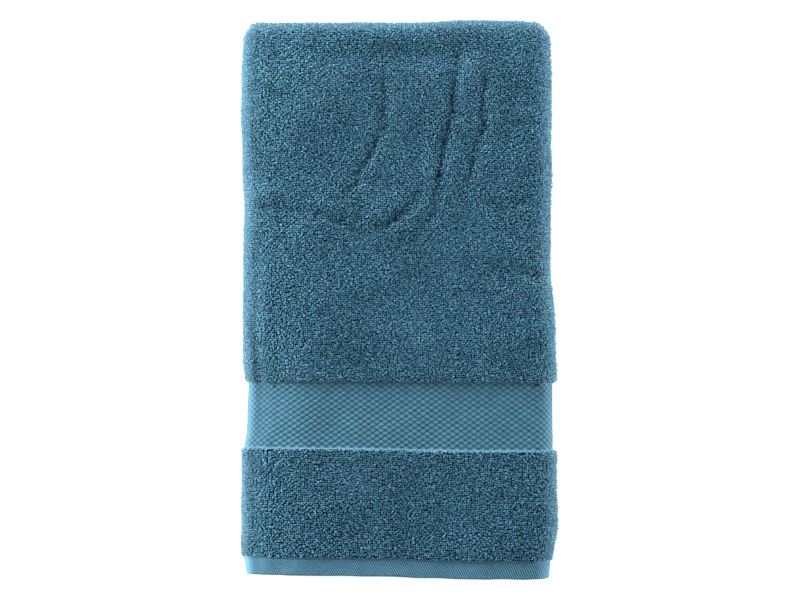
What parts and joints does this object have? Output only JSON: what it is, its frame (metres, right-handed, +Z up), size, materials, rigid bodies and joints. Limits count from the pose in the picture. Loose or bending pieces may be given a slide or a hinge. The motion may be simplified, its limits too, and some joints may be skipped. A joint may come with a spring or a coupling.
{
  "type": "folded bath towel",
  "caption": "Terry bath towel folded into a thick rectangle, with a flat woven border and a sewn hem across its lower end; it opens about its left fold.",
  "frame": {"origin": "on the ground under the middle of the folded towel", "axes": "+Z up out of the face that shows the border, +Y from the end hem to the top fold, +X from the bulky left fold to the tight right fold"},
  "size_m": [0.262, 0.468, 0.049],
  "materials": {
    "terry_pile": "looped terry pile on both faces, dusty blue",
    "border_weave": "flat dobby weave with small raised lozenges",
    "end_hem": "fine twill, turned twice and sewn",
    "side_hem": "flat weave, turned over the side edge and sewn",
    "thread": "spun sewing thread, matching colour"
  },
  "bodies": {
    "left_third": {"terry_field_back": "terry_pile", "border_back": "border_weave", "end_strip_back": "terry_pile", "hem_back": "end_hem", "hem_stitching_back": "thread", "tucked_border_back": "border_weave", "tucked_end_strip_back": "terry_pile", "tucked_hem_back": "end_hem", "tucked_hem_stitching_back": "thread", "side_hem_left": "side_hem", "side_hem_stitching_left": "thread"},
    "middle_and_right_thirds": {"terry_field_front": "terry_pile", "border_front": "border_weave", "end_strip_front": "terry_pile", "hem_front": "end_hem", "hem_stitching_front": "thread", "tucked_border_front": "border_weave", "tucked_end_strip_front": "terry_pile", "tucked_hem_front": "end_hem", "tucked_hem_stitching_front": "thread", "side_hem_right": "side_hem", "side_hem_stitching_right": "thread"}
  },
  "joints": [
    {"name": "left_fold_opens", "type": "hinge", "parent": "left_third", "child": "middle_and_right_thirds", "pos_m": [-0.131, 0, 0.0245], "axis": [0, -1, 0], "range_deg": [0, 179.5]}
  ]
}
